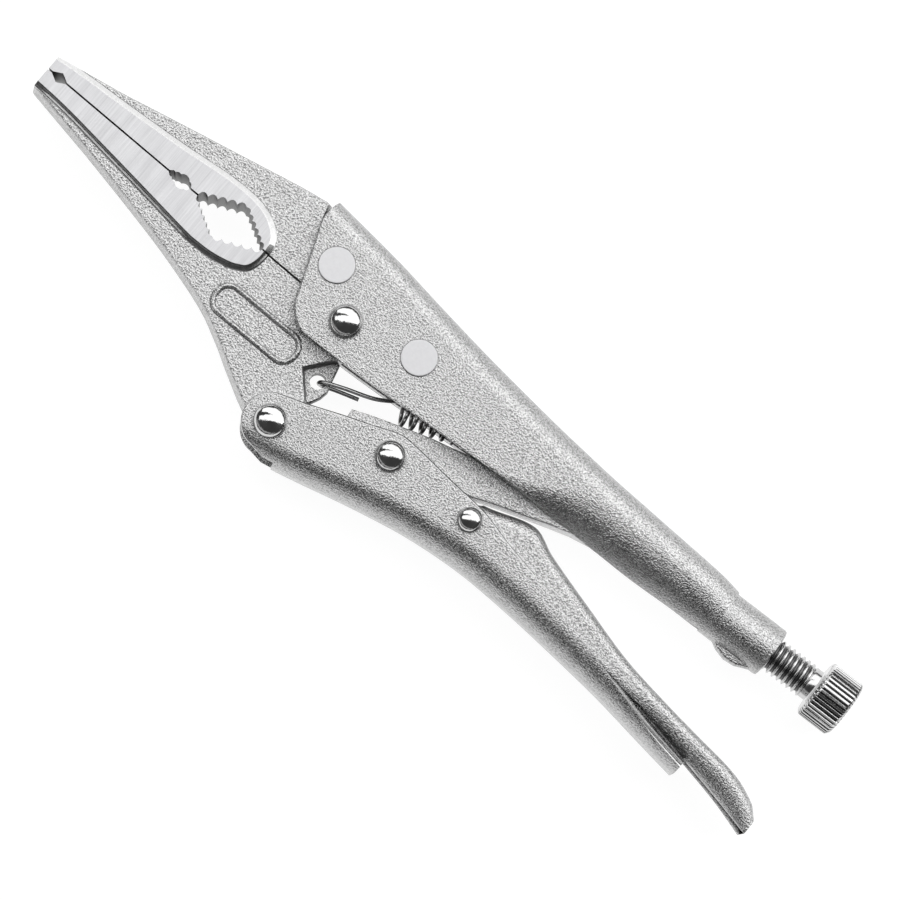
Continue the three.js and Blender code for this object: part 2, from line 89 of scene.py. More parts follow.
def newPiece(name, points, faces):
    mesh = bpy.data.meshes.new(name)
    mesh.from_pydata([tuple(p) for p in points], [], faces)
    piece = bpy.data.objects.new(name, mesh)
    bpy.context.scene.collection.objects.link(piece)
    return piece


def faceOut(piece):
    shape = bmesh.new()
    shape.from_mesh(piece.data)
    bmesh.ops.recalc_face_normals(shape, faces=shape.faces)
    if shape.calc_volume(signed=True) < 0:
        bmesh.ops.reverse_faces(shape, faces=shape.faces)
    shape.to_mesh(piece.data)
    shape.free()
    return piece


def loft(name, rings):
    count = len(rings[0])
    last = (len(rings) - 1) * count
    faces = [tuple(reversed(range(count))), tuple(range(last, last + count))]
    for r in range(len(rings) - 1):
        for i in range(count):
            a, b = r * count + i, r * count + (i + 1) % count
            faces.append((a, b, b + count, a + count))
    return faceOut(newPiece(name, [p for ring in rings for p in ring], faces))


def inset(outline, amount):
    # moves every corner of a closed outline inwards by the same distance from both its edges
    turning = sum(a[0] * b[1] - b[0] * a[1] for a, b in zip(outline, outline[1:] + outline[:1]))
    side = 1 if turning > 0 else -1
    moved = []
    for i, here in enumerate(outline):
        before, after = Vector(outline[i - 1]), Vector(outline[(i + 1) % len(outline)])
        inward = (Vector(here) - before).normalized().orthogonal() * side
        outward = (after - Vector(here)).normalized().orthogonal() * side
        reach = (inward + outward) / max(0.35, 1 + inward.dot(outward))
        moved.append(Vector(here) + reach * amount)
    return moved


def plate(name, outline, levels):
    # a plate from an outline, with a ring at each (height, inset)
    rings = [[(p[0], p[1], height) for p in inset(outline, amount)] for height, amount in levels]
    return loft(name, rings)


def bothSides(levels):
    return [(-height, amount) for height, amount in reversed(levels)] + levels


def arc(centre, radius, start, end, steps):
    angles = [math.radians(start + (end - start) * i / steps) for i in range(steps + 1)]
    return [(centre[0] + radius * math.cos(a), centre[1] + radius * math.sin(a)) for a in angles]


def curveThrough(points, steps=6):
    # an even curve through given points, its two ends included
    knots = [Vector(p) for p in points]
    line = []
    for i in range(len(knots) - 1):
        a, b = knots[i], knots[i + 1]
        before = knots[i - 1] if i else a * 2 - b
        after = knots[i + 2] if i + 2 < len(knots) else b * 2 - a
        for step in range(steps):
            t = step / steps
            pull = (b - before) * t + (2 * before - 5 * a + 4 * b - after) * t * t
            pull += (3 * a - before - 3 * b + after) * t ** 3
            line.append(tuple(a + pull / 2))
    return line + [tuple(knots[-1])]


def turned(name, profile, spot=(0, 0), sides=96):
    # a turned piece standing across the tool; profile holds (radius, height) from axis to axis
    turns = [2 * math.pi * i / sides for i in range(sides)]
    rings = []
    for radius, height in profile[1:-1]:
        rings.append([(spot[0] + radius * math.cos(a), spot[1] + radius * math.sin(a), height)
                      for a in turns])
    return loft(name, rings)


def hole(spot, radius, sides=48):
    high = fits["beyond"]
    return turned("tool", [(0, -high), (radius, -high), (radius, high), (0, high)], spot, sides)


def throughCutter(outline, half=10):
    # cuts an outline straight through the tool, or only that far from its middle
    return plate("tool", outline, [(-half, 0), (half, 0)])


def baked(piece):
    # the mesh as its modifiers leave it
    view = bpy.context.evaluated_depsgraph_get()
    view.update()
    mesh = bpy.data.meshes.new_from_object(piece.evaluated_get(view))
    old = piece.data
    piece.modifiers.clear()
    piece.data = mesh
    bpy.data.meshes.remove(old)
    return piece


def combine(piece, tools, operation):
    for tool in tools:
        cutter = piece.modifiers.new("shape", "BOOLEAN")
        cutter.operation = operation
        cutter.solver = "MANIFOLD"
        cutter.object = tool
        baked(piece)
        bpy.data.objects.remove(tool)
    return piece


def join(piece, *tools):
    return combine(piece, tools, "UNION")


def cut(piece, *tools):
    return combine(piece, tools, "DIFFERENCE")


def keepInside(piece, *tools):
    return combine(piece, tools, "INTERSECT")


def clean(piece, distance=0.004):
    # merges points that lie nearer than this, in millimetres
    shape = bmesh.new()
    shape.from_mesh(piece.data)
    bmesh.ops.remove_doubles(shape, verts=shape.verts, dist=distance)
    bmesh.ops.dissolve_degenerate(shape, edges=shape.edges, dist=distance / 2)
    shape.to_mesh(piece.data)
    shape.free()
    return piece


def edgeCutter(outline, face, radius):
    # cuts an outline through the tool and rounds the edges it leaves at both flat faces
    flare, rise = 0.05, 0.004  # the cutter keeps widening past the face, and every ring lies higher
    steps = []
    for i in range(5):
        a = math.radians(90 * i / 4)
        steps.append((face - radius + radius * math.sin(a) + rise * i, -radius * (1 - math.cos(a))))
    return plate("tool", outline, bothSides([(0, 0), *steps, (fits["beyond"], -radius - flare)]))


def settle(piece, body, materials, smoothAngle=32, sort=None):
    node = piece.name[:-len("_fine")]
    mesh = piece.data
    mesh.materials.clear()
    for material in materials:
        mesh.materials.append(material)
    for face in mesh.polygons:
        face.material_index = sort(face) if sort else 0
    mesh.shade_smooth()
    mesh.set_sharp_from_angle(angle=math.radians(smoothAngle))
    mesh.transform(Matrix.Translation(pivot) @ Matrix.Diagonal((mm, mm, mm, 1)))
    even = piece.modifiers.new("even", "WEIGHTED_NORMAL")
    even.keep_sharp = True
    even.weight = 80
    if body:
        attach(piece, body)
    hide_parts(node)
    print("made", node, len(mesh.polygons), "faces")
    return piece


def addNode(tree, kind, links=None, **settings):
    node = tree.nodes.new(kind)
    for key, value in settings.items():
        if hasattr(node, key):
            setattr(node, key, value)
        else:
            node.inputs[key.replace("_", " ")].default_value = value
    for socket, source in (links or {}).items():
        tree.links.new(source, node.inputs[socket])
    return node


def metal(name, colour, roughness):
    material = bpy.data.materials.new(name)
    material.use_nodes = True
    tree = material.node_tree
    shader = tree.nodes["Principled BSDF"]
    shader.inputs["Metallic"].default_value = 1
    shader.inputs["Base Color"].default_value = (*colour, 1)
    shader.inputs["Roughness"].default_value = roughness
    place = tree.nodes.new("ShaderNodeTexCoord").outputs["Object"]
    return material, tree, shader, place


def noiseAt(tree, place, size, detail=2, stretch=(1, 1, 1)):
    # stretch lengthens the grain along x, y and z
    scale = tuple(1 / (size * mm * s) for s in stretch)
    mapping = addNode(tree, "ShaderNodeMapping", {"Vector": place}, Scale=scale)
    grain = addNode(tree, "ShaderNodeTexNoise", {"Vector": mapping.outputs[0]}, Scale=1.0, Detail=detail)
    return grain.outputs["Fac"]


def between(tree, source, low, high, start=0.3, end=0.7):
    ramp = addNode(tree, "ShaderNodeMapRange", {"Value": source})
    for socket, value in (("From Min", start), ("From Max", end), ("To Min", low), ("To Max", high)):
        ramp.inputs[socket].default_value = value
    return ramp.outputs["Result"]


def tinted(tree, source, dark, light, start=0.3, end=0.7):
    mix = addNode(tree, "ShaderNodeMix", data_type="RGBA")
    tree.links.new(between(tree, source, 0, 1, start, end), mix.inputs["Factor"])
    mix.inputs["A"].default_value = (*dark, 1)
    mix.inputs["B"].default_value = (*light, 1)
    return [socket for socket in mix.outputs if socket.type == "RGBA"][0]


def bumped(tree, shader, layers):
    normal = None
    for height, depth in layers:
        bump = addNode(tree, "ShaderNodeBump", {"Height": height}, Strength=1.0)
        bump.inputs["Distance"].default_value = depth * mm
        if normal:
            tree.links.new(normal, bump.inputs["Normal"])
        normal = bump.outputs["Normal"]
    tree.links.new(normal, shader.inputs["Normal"])


def pebbledNickel(name, look):
    material, tree, shader, place = metal(name, look["light"], 0.3)
    grain = noiseAt(tree, place, look["grain"], 1.5)
    fine = noiseAt(tree, place, look["grain"] * 0.4, 1)
    cloud = noiseAt(tree, place, 9, 3)
    pits = tinted(tree, grain, look["dark"], look["light"], 0.36, 0.52)  # only the grain's low spots darken
    tree.links.new(pits, shader.inputs["Base Color"])
    tree.links.new(between(tree, cloud, *look["roughness"]), shader.inputs["Roughness"])
    bumped(tree, shader, [(grain, look["depth"]), (fine, look["depth"] * 0.35)])
    return material


def groundSteel(name, look):
    material, tree, shader, place = metal(name, look["light"], 0.3)
    lines = noiseAt(tree, place, look["line"], 3, (1, 60, 60))  # grinding marks across the jaws
    patch = noiseAt(tree, place, 5, 2, (0.25, 2, 1))
    tree.links.new(tinted(tree, lines, look["dark"], look["light"]), shader.inputs["Base Color"])
    tree.links.new(between(tree, patch, *look["roughness"]), shader.inputs["Roughness"])
    bumped(tree, shader, [(lines, look["depth"])])
    return material


def brightPlate(name, look):
    material, tree, shader, place = metal(name, look["light"], 0.1)
    haze = noiseAt(tree, place, look["haze"], 3)
    tree.links.new(tinted(tree, haze, look["dark"], look["light"]), shader.inputs["Base Color"])
    tree.links.new(between(tree, haze, *look["roughness"]), shader.inputs["Roughness"])
    bumped(tree, shader, [(haze, look["depth"])])
    return material


def grey(value, blue=0.0):
    return value, value, value + blue


handleSkin = pebbledNickel("pebbled_nickel", {
    "grain": 0.29, "depth": 0.15, "dark": grey(0.35), "light": grey(0.57), "roughness": (0.16, 0.24)})
jawSkin = pebbledNickel("forged_skin", {
    "grain": 0.32, "depth": 0.17, "dark": grey(0.35), "light": grey(0.58), "roughness": (0.16, 0.24)})
padFace = groundSteel("ground_pad", {
    "line": 0.12, "depth": 0.004, "dark": grey(0.44, 0.01), "light": grey(0.54, 0.01),
    "roughness": (0.28, 0.36)})
padShoulder = brightPlate("pad_shoulder", {
    "haze": 0.6, "depth": 0.006, "dark": grey(0.5), "light": grey(0.6), "roughness": (0.16, 0.24)})
# painted shade: a near-black colour for the walls of the grip teeth, the parting line and the lug recess,
# where shade falls
wallShade = brightPlate("cut_steel", {
    "haze": 0.4, "depth": 0.02, "dark": grey(0.14), "light": grey(0.26), "roughness": (0.4, 0.55)})
rivetFace = brightPlate("rivet_face", {
    "haze": 0.8, "depth": 0.004, "dark": grey(0.52, 0.01), "light": grey(0.58, 0.01),
    "roughness": (0.34, 0.42)})
domePlate = brightPlate("bright_nickel", {
    "haze": 1.3, "depth": 0.05, "dark": grey(0.58), "light": grey(0.68), "roughness": (0.06, 0.2)})
screwPlate = brightPlate("screw_nickel", {
    "haze": 0.5, "depth": 0.008, "dark": grey(0.56), "light": grey(0.66), "roughness": (0.12, 0.24)})
grooveShade = brightPlate("groove_shade", {
    "haze": 0.3, "depth": 0.01, "dark": grey(0.1), "light": grey(0.2), "roughness": (0.3, 0.45)})
# painted highlight: a brighter colour than the pebbled skin, on top of the sheared edge's real smoother
# finish
lipHighlight = brightPlate("sheared_edge", {
    "haze": 0.5, "depth": 0.01, "dark": grey(0.56), "light": grey(0.66), "roughness": (0.18, 0.28)})
wireSkin = brightPlate("drawn_wire", {
    "haze": 0.3, "depth": 0.01, "dark": grey(0.34), "light": grey(0.48), "roughness": (0.14, 0.26)})
print("finishes ready")


jawSizes = {
    "levels": [(0, 0), (2.9, 0.48), (3.16, 0.56), (3.34, 0.7), (3.4, 0.92)],
    "upperPad": [(0, -1.0), (3.36, -1.0), (3.47, -0.96), (3.57, -0.82), (3.9, -0.16), (3.97, -0.03),
                 (4.0, 0.06)],
    "lowerPad": [(0, -1.0), (3.38, -1.0), (3.5, -0.96), (3.62, -0.84), (3.66, -0.74), (3.675, -0.46),
                 (3.73, -0.36), (3.86, -0.2), (3.94, -0.08), (3.985, -0.01), (4.0, 0.06)],
    "wallLevels": [(0, 0), (2.9, 0.48), (4.2, 0.72)],
    "padTop": [(-66, 3.15), (-63.6, 3.3), (-57.5, 3.8), (-50, 4.2), (-40, 4.9), (-35, 5.4), (-30, 5.9),
               (-26, 6.0), (-23, 5.7), (-20.6, 4.9), (-18.5, 3.4), (-17.75, 2.0)],
    "padBottom": [(-17.6, 0.9), (-17.7, -1.2), (-18.3, -2.9), (-19.4, -3.7), (-21, -4.35), (-24, -4.95),
                  (-27, -5.1), (-30, -4.95), (-40, -3.75), (-50, -2.6), (-58, -1.75), (-66, -1.35)],
    "front": -63.75, "pastTip": -70,
    "upperSeamEnd": -5.6, "lowerSeamEnd": -5.45, "seamGap": 0.2,  # the parting line behind the pad
    "hub": 5.4, "boss": 4.3,
    "lug": [(1, -4.5), (3.6, -5.6), (4.3, -8.4), (4.85, -10.2), (4.6, -11.7), (3.7, -13.6), (2, -14.5),
            (-1, -9.9)],
    "hook": (2.5, -9.9), "hookHole": 1.35,
}
gripSizes = {
    "diamond": [(-62.9, 0), (-62.2, 0.35), (-61.4, 0.8), (-60.6, 0.4), (-59.9, 0)],
    "bites": [(-37.25, 0.42), (-36.35, 0.72), (-35.15, 1.12), (-34.1, 0.62)],  # centre and radius
    "bitesFront": -37.9, "bitesFrom": -37.7, "bitesRear": -33.0,
    "front": -31.8, "rear": -18.1, "height": 3.5, "upperApex": -24.4, "lowerApex": -25.7,
    "coarse": 5, "fine": 6, "toothDepth": 1.45,
}
finishAndShadeSpots = {
    "padHeight": 3.95, "shoulderHeight": 3.44, "shoulderRear": -15.5,
    "shoulderSlope": 0.12, "shoulderLift": -3.9,  # the shoulder lies above this line
    "lugX": (-1, 5.6), "lugY": (-14.6, -4.4),
    "gripX": (-63.6, -5.7), "gripReach": 4.4, "seamFrom": -17.9, "seamReach": 0.5,
}
jawFinishesAndShade = [jawSkin, padFace, wallShade, padShoulder]


def partingLine(x):
    return 0.42 - 0.0122 * x


def scallops(start, end, count):
    # round bites along a straight flank, bulging to the left of the way it runs
    step = (Vector(end) - Vector(start)) / count
    outward = Vector((-step.y, step.x))
    line = []
    for bite in range(count):
        for i in range(8):
            t = i / 8
            line.append(Vector(start) + step * (bite + t) + outward * gripSizes["toothDepth"] * t * (1 - t))
    return line


def gripEdge(side):
    # from the tip to behind the pad; side is 1 for the upper jaw and -1 for the lower
    g = gripSizes
    upper = side > 0
    apex = (g["upperApex"] if upper else g["lowerApex"], g["height"])
    rise = scallops((g["front"], 0), apex, g["coarse"] if upper else g["fine"])
    fall = scallops(apex, (g["rear"], 0), g["fine"] if upper else g["coarse"])
    middle = []
    for i in range(1, 46):
        x = g["bitesFrom"] + i * 0.1
        reach = [radius ** 2 - (x - centre) ** 2 for centre, radius in g["bites"]]
        middle.append((x, max(0.0, *[math.sqrt(max(0, r)) for r in reach])))
    edge = [(jawSizes["pastTip"], 0), *g["diamond"], (g["bitesFront"], 0), *middle, (g["bitesRear"], 0)]
    edge += [tuple(p) for p in rise + fall] + [(g["rear"], 0)]
    return [(x, partingLine(x) + side * (lift + fits["gap"] / 2)) for x, lift in edge]


def beyondSeam(side, end):
    # what is cut away from one jaw: all that lies on the other jaw's side of the parting line
    past, far = jawSizes["pastTip"], -80 * side
    return [*gripEdge(side), (end, partingLine(end) + side * jawSizes["seamGap"]), (end, far), (past, far)]


def jawFinishOrShade(face):
    # the finish that a face has: 0 forged skin, 1 ground pad, 2 cut wall with painted shade, 3 pad shoulder
    f = finishAndShadeSpots
    x, y = face.center.x, face.center.y
    height, level = abs(face.center.z), abs(face.normal.z)
    if height > f["padHeight"] and level > 0.97:
        return 1
    shoulderEdge = f["shoulderSlope"] * x + f["shoulderLift"]
    if height > f["shoulderHeight"] and x < f["shoulderRear"] and y > shoulderEdge:
        return 3
    # the walls of the lug recess get the painted shade
    if f["lugX"][0] < x < f["lugX"][1] and f["lugY"][0] < y < f["lugY"][1] and level < 0.3:
        return 2
    # the walls of the grip teeth and of the parting line get the painted shade
    reach = f["gripReach"] if x < f["seamFrom"] else f["seamReach"]
    inGrip = f["gripX"][0] < x < f["gripX"][1] and abs(y - partingLine(x)) < reach
    return 2 if inGrip and level < 0.03 else 0


def withPad(name, blank, padLevels):
    # the forged blank and its raised ground pad, the front cut square
    outline = curveThrough(jawSizes["padTop"], 5) + curveThrough(jawSizes["padBottom"], 5)
    pad = plate("pad", outline, bothSides(padLevels))
    keepInside(pad, plate("walls", blank, bothSides(jawSizes["wallLevels"])))
    jaw = join(plate(name, blank, bothSides(jawSizes["levels"])), pad)
    past, front = jawSizes["pastTip"], jawSizes["front"]
    return cut(jaw, throughCutter([(past, -10), (front, -10), (front, 10), (past, 10)]))


def makeUpperJaw():
    blank = [(-65, -1.7), (-65, 3.9), (-64.2, 4.3), (-63.0, 4.55)]
    blank += curveThrough([(-52, 6.5), (-40, 9.1), (-30, 11.2), (-20, 13.3), (-14.9, 14.15)], 3)
    blank += [(-14.0, 13.9), (-13.4, 11.6), (0, 10.3), (10, 9.0), (17, 8.0), (17.2, -2.0), (8.6, -2.0)]
    blank += arc((0, 0), jawSizes["hub"] + fits["gap"], 20, 176, 30) + [(-8, -6)]
    jaw = withPad("upper_jaw_fine", blank, jawSizes["upperPad"])
    cut(jaw, throughCutter(beyondSeam(1, jawSizes["upperSeamEnd"])))
    cut(jaw, *[hole(spot, fits["rivetBore"]) for spot in rivetSpots])
    return settle(clean(jaw), "fixed_handle", jawFinishesAndShade, 28, jawFinishOrShade)


labelFrame = {
    "low": (-19.3, -11.85), "high": (-2.9, -6.85), "radius": 2.25, "halfBead": 0.45, "root": 2.4,
    "swell": [(3.4, -0.1), (3.46, 0), (3.62, 0.07), (3.76, 0.18), (3.84, 0.34), (3.86, 0.44)],
}


def frameOutline(grow):
    # a round-ended outline with its lower left and upper right corners moved out by grow
    radius = labelFrame["radius"] + grow
    left, bottom = [value - grow + radius for value in labelFrame["low"]]
    right, top = [value + grow - radius for value in labelFrame["high"]]
    corners = [(right, top, 90), (right, bottom, 0), (left, bottom, -90), (left, top, 180)]
    line = []
    for x, y, start in corners:
        line += arc((x, y), radius, start, start - 90, 8)
    return line


def makeLabelFrame():
    # the raised frame on the lower jaw, left blank inside
    half, swell = labelFrame["halfBead"], labelFrame["swell"]
    bead = plate("bead", frameOutline(half), [(labelFrame["root"], -0.1), *swell])
    well = [(height, -amount) for height, amount in swell]
    return cut(bead, plate("tool", frameOutline(-half), [(1, 0.1), *well, (4.4, -0.6)]))


def makeLowerJaw():
    blank = [(-65, 3), (-65, -2.2), (-64.2, -2.8), (-63.2, -3.1)]
    blank += curveThrough([(-50.6, -5.4), (-40.5, -7.5), (-30.5, -9.8), (-20.4, -12.8), (-14.5, -15.6),
                           (-10.5, -17.9), (-6.0, -20.4)], 4)
    blank += arc(handlePin, jawSizes["boss"], 202, 384, 36)
    blank += [(3.5, -13.6), (0, -9.9), (3.3, -5.6), (5.2, -1.5)]
    blank += arc((0, 0), jawSizes["hub"], -16, 176, 34) + [(-8, 3)]
    jaw = withPad("lower_jaw_fine", blank, jawSizes["lowerPad"])
    join(jaw, plate("lug", jawSizes["lug"], bothSides([(0, 0), (1.1, 0), (1.3, 0.2)])), makeLabelFrame())
    cut(jaw, throughCutter(beyondSeam(-1, jawSizes["lowerSeamEnd"])))
    cut(jaw, hole((0, 0), fits["pinBore"]), hole(handlePin, fits["pinBore"]))
    cut(jaw, hole(jawSizes["hook"], jawSizes["hookHole"]))
    return settle(clean(jaw), "lower_jaw", jawFinishesAndShade, 28, jawFinishOrShade)


makeUpperJaw()
makeLowerJaw()


def channelRing(s):
    # One ring of a folded sheet: a back with rounded shoulders and two ears that end at "lip".
    # "curl" turns the ears' ends in, and the far ear is shorter by "trim".
    down = 1 if s["lip"] > s["back"] else -1
    turn = math.radians(s["curl"])
    bend = s.get("curlRadius", 3.0)

    def side(depth, wall):
        sweep = min(math.pi / 2, math.acos(1 - min(1, (depth - 0.3) / s["shoulder"])))
        outer, inner = [], []
        for depthIn, line in ((0, outer), (wall, inner)):
            r = s["shoulder"] - depthIn
            line.append((0, depthIn))
            for i in range(13):
                a = sweep * i / 12
                line.append((s["half"] - s["shoulder"] + r * math.sin(a), s["shoulder"] - r * math.cos(a)))
            z, y = line[-1]
            if sweep < math.pi / 2:
                run = (depth - (s["shoulder"] - s["shoulder"] * math.cos(sweep))) / math.sin(sweep)
                for i in range(1, 9):
                    line.append((z + run * math.cos(sweep) * i / 8, y + run * math.sin(sweep) * i / 8))
            else:
                rr = bend - depthIn
                start = depth - bend * math.sin(turn)
                line += [(s["half"] - depthIn, y + (start - y) * i / 3) for i in (1, 2)]
                for i in range(6):
                    a = turn * i / 5
                    line.append((s["half"] - bend + rr * math.cos(a), start + rr * math.sin(a)))
        return roundedEnd(outer, inner)

    def place(point, sign):
        return s["x"], s["back"] + down * point[1], sign * point[0]

    deep = abs(s["lip"] - s["back"])
    near = side(deep, s["wall"])
    far = side(deep - s["trim"], s["wall"])
    outline = [place(p, 1) for p in near[0]] + [place(p, 1) for p in reversed(near[1])]
    outline += [place(p, -1) for p in far[1][1:]] + [place(p, -1) for p in reversed(far[0][1:])]
    return outline


def roundedEnd(outer, inner, radius=0.4):
    # rounds the sheet's cut edge where its outer and inner faces end
    a, b = Vector(outer[-1]), Vector(inner[-1])
    along = (Vector(outer[-1]) - Vector(outer[-2])).normalized()
    across = (b - a).normalized()
    corner = [a - along * radius, a - along * radius * 0.3 + across * radius * 0.3, a + across * radius]
    other = [b - along * radius, b - along * radius * 0.3 - across * radius * 0.3, b - across * radius]
    return outer[:-1] + [tuple(p) for p in corner], inner[:-1] + [tuple(p) for p in other]


def channel(name, keys, rows, steps):
    # rings between given stations, each value following a smooth curve through them
    stations = [dict(zip(keys, row)) for row in rows]
    rings = []
    for i in range(len(stations) - 1):
        picks = [stations[min(max(k, 0), len(stations) - 1)] for k in (i - 1, i, i + 1, i + 2)]
        for step in range(steps + (i == len(stations) - 2)):
            rings.append(channelRing({key: eased(picks, key, step / steps) for key in keys}))
    return loft(name, rings)


def eased(picks, key, t):
    before, a, b, after = picks
    span = b["x"] - a["x"]
    if key == "x":
        return a["x"] + span * t
    slopeA = (b[key] - before[key]) / ((b["x"] - before["x"]) or 1) * span
    slopeB = (after[key] - a[key]) / ((after["x"] - a["x"]) or 1) * span
    start = (2 * t ** 3 - 3 * t * t + 1) * a[key] + (t ** 3 - 2 * t * t + t) * slopeA
    return start + (3 * t * t - 2 * t ** 3) * b[key] + (t ** 3 - t * t) * slopeB


def onScrew(piece):
    # from the tool's own x axis to the screw's
    tilt = Matrix.Rotation(math.atan(screwSlope), 4, "Z")
    piece.data.transform(Matrix.Translation((0, screwLift, 0)) @ tilt)
    return piece


def turnedOnScrew(name, profile, sides=96):
    # a turned piece along the screw; profile holds (radius, reach)
    turns = [2 * math.pi * i / sides for i in range(sides)]
    rings = []
    for radius, reach in profile:
        rings.append([(reach, radius * math.cos(a), radius * math.sin(a)) for a in turns])
    return onScrew(loft(name, rings))


fixedSizes = {
    "keys": ("x", "back", "lip", "half", "shoulder", "wall", "curl", "curlRadius", "trim"),
    "rows": [
        (-15, 15.1, -5.9, 5.6, 3.4, 1.9, 3, 3.0, 0.8),
        (0, 13.7, -5.7, 5.6, 3.6, 1.9, 3, 3.0, 0.8),
        (10, 12.4, -5.2, 5.6, 3.9, 1.9, 3, 3.0, 0.8),
        (20, 11.2, -4.4, 5.6, 4.3, 1.9, 3, 3.0, 0.8),
        (30, 10.2, -3.8, 5.55, 4.4, 1.9, 7, 3.2, 0.8),
        (38, 9.5, -3.4, 5.48, 4.4, 1.8, 20, 5.0, 0.7),
        (44, 9.1, -3.2, 5.4, 4.4, 1.75, 38, 7.6, 0.7),
        (50, 8.75, -3.0, 5.28, 4.4, 1.7, 50, 8.2, 0.6),
        (56, 8.55, -2.8, 5.15, 4.3, 1.6, 56, 7.6, 0.6),
        (62, 8.35, -2.6, 5.0, 4.2, 1.5, 63, 6.9, 0.5),
        (70, 8.1, -2.0, 4.8, 4.1, 1.35, 70, 6.0, 0.3),
        (74, 7.9, -1.75, 4.7, 4.1, 1.25, 74, 5.4, 0.2),
        (77.2, 7.5, -1.4, 4.6, 4.3, 1.2, 80, 4.5, 0.1),
    ],
    "nose": [(-4.0, -6.4), (-5.4, -5.6), (-6.9, -4.6), (-8.4, -2.9), (-9.7, 0.3), (-12.0, 6.2),
             (-13.6, 10.2), (-13.75, 12.0), (-13.2, 16)],
    "edge": 0.45,
    "tubeFront": 75.7, "tubeRear": 87.6, "tubeOuter": 4.4, "tubeInner": 3.35, "boreFront": 71.3,
    "keel": [(78.4, 0.5), (78.4, -1.3), (80.0, -2.15), (82.0, -2.6), (84.0, -2.35), (86.2, -1.3),
             (86.2, 0.5)],
    "seatFloor": 5.44, "seatRadius": 3.14,
}


def makeFixedHandle():
    s = fixedSizes
    body = channel("fixed_handle_fine", s["keys"], s["rows"], 10)
    nose = [(-30, 16), (-30, -8), (-4.6, -7.0), *curveThrough(s["nose"], 4)]
    cut(body, edgeCutter(nose, fits["earOut"], s["edge"]))
    rear, outer, inner, edge = s["tubeRear"], s["tubeOuter"], s["tubeInner"], s["edge"]
    tube = turnedOnScrew("tube", [(outer, s["tubeFront"]), (outer, rear - edge),
                                  (outer - 0.13, rear - 0.13), (outer - edge, rear)])
    keel = plate("keel", s["keel"], bothSides([(0, 0), (0.7, 0.05), (1.15, 0.25), (1.3, 0.6)]))
    join(body, tube, keel)
    bore = turnedOnScrew("tool", [(inner, s["boreFront"]), (inner, rear - 0.4), (inner + 0.5, rear + 0.2)])
    cut(body, bore, hole((0, 0), fits["pinBore"]), *[hole(spot, fits["rivetBore"]) for spot in rivetSpots])
    floor, radius, top = s["seatFloor"], s["seatRadius"], 7
    seat = [(0, floor), (radius, floor), (3.22, top), (0, top)]
    cut(body, *[turned("tool", seat, spot) for spot in rivetSpots])
    return settle(clean(body), "fixed_handle", [handleSkin], 40)


movingSizes = {
    "keys": ("x", "back", "lip", "half", "shoulder", "wall", "curl", "trim"),
    "rows": [
        (-5, -27.5, -13, 5.6, 3.6, 1.9, 3, 0),
        (5.6, -25.6, -11, 5.6, 3.8, 1.9, 3, 0),
        (10, -24.6, -9, 5.6, 4.0, 1.9, 3, 0),
        (20, -22.1, -7.2, 5.6, 4.2, 1.9, 3, 0),
        (30, -20.1, -7.5, 5.6, 4.4, 1.9, 3, 0),
        (40, -19.15, -8.5, 5.6, 4.5, 1.9, 3, 0),
        (50, -19.25, -12.2, 5.6, 4.4, 1.9, 3, 0),
        (60, -19.8, -15.1, 5.6, 4.2, 1.9, 3, 0),
        (70, -20.55, -17.5, 5.7, 4.0, 1.8, 3, 0),
        (80, -21.75, -20.0, 6.0, 4.0, 1.7, 3, 0),
        (87.2, -22.6, -21.2, 6.0, 4.0, 1.6, 3, 0),
    ],
    "lip": [(3.7, -14.3), (9.5, -11.9), (14, -10.2), (18, -8.6), (21, -8.3), (30, -9.0), (37, -9.5),
            (43, -10.9), (49.5, -12.1)],
    "earRadius": 4.8, "earRear": 5.6, "edge": 0.45,
    "backFront": [(5.5, -26.6), (5.0, -25.9), (3.5, -25.5)],  # the folded back starts behind the ears' foot
}


def lipFinishAndHighlight(face):
    # faces turned towards the lamps on the +Y side, mostly the sheared upper edge of the channel, are
    # smoother than its pebbled faces and painted brighter: a real smoother edge with a painted highlight
    return int(face.normal.y > 0.35)


def makeMovingHandle():
    s = movingSizes
    body = channel("moving_handle_fine", s["keys"], s["rows"], 10)
    x, y = handlePin
    rear, clear = s["earRear"], 12
    above = arc(handlePin, s["earRadius"], 270, 112, 30) + curveThrough(s["lip"], 4)
    above += [(50, 0), (x - clear, 0), (x - clear, y - clear), (rear, y - clear), *s["backFront"]]
    cut(body, edgeCutter(above, fits["earOut"], s["edge"]))
    throat = [(x - 9, -30), (rear, -30), (rear, -15), (x - 9, -15)]
    cut(body, throughCutter(throat, fits["earIn"]))
    cut(body, hole(handlePin, fits["pinBore"]), hole(linkPin, fits["pinBore"]))
    cut(body, hole(leverPin, fits["leverBore"]))
    return settle(clean(body), "moving_handle", [handleSkin, lipHighlight], 40, lipFinishAndHighlight)


leverSizes = {
    "keys": ("x", "back", "lip", "half", "shoulder", "wall", "curl", "curlRadius", "trim"),
    "rows": [
        (31.5, -8.0, -14.6, 3.4, 2.0, 1.3, 3, 3.0, 0),
        (36, -8.3, -15.4, 3.4, 2.2, 1.3, 3, 3.0, 0),
        (44.8, -5.65, -15.4, 3.4, 2.4, 1.3, 3, 3.0, 0),
        (50, -7.5, -15.2, 3.4, 2.3, 1.3, 3, 3.0, 0),
        (60, -10.3, -15.8, 3.4, 2.1, 1.3, 5, 3.0, 0),
        (70, -12.9, -17.0, 3.4, 1.9, 1.25, 20, 3.2, 0),
        (80, -14.4, -18.5, 3.4, 1.6, 1.2, 46, 3.4, 0),
        (86, -15.1, -19.6, 3.6, 1.6, 1.2, 54, 3.5, 0),
        (95, -16.2, -21.3, 4.0, 1.7, 1.2, 58, 3.8, 0),
        (100, -18.1, -22.5, 4.2, 1.7, 1.2, 45, 3.6, 0),
        (102, -20.0, -23.0, 4.1, 1.5, 1.1, 30, 2.6, 0),
    ],
    "nose": 3.0, "edge": 0.3,
}


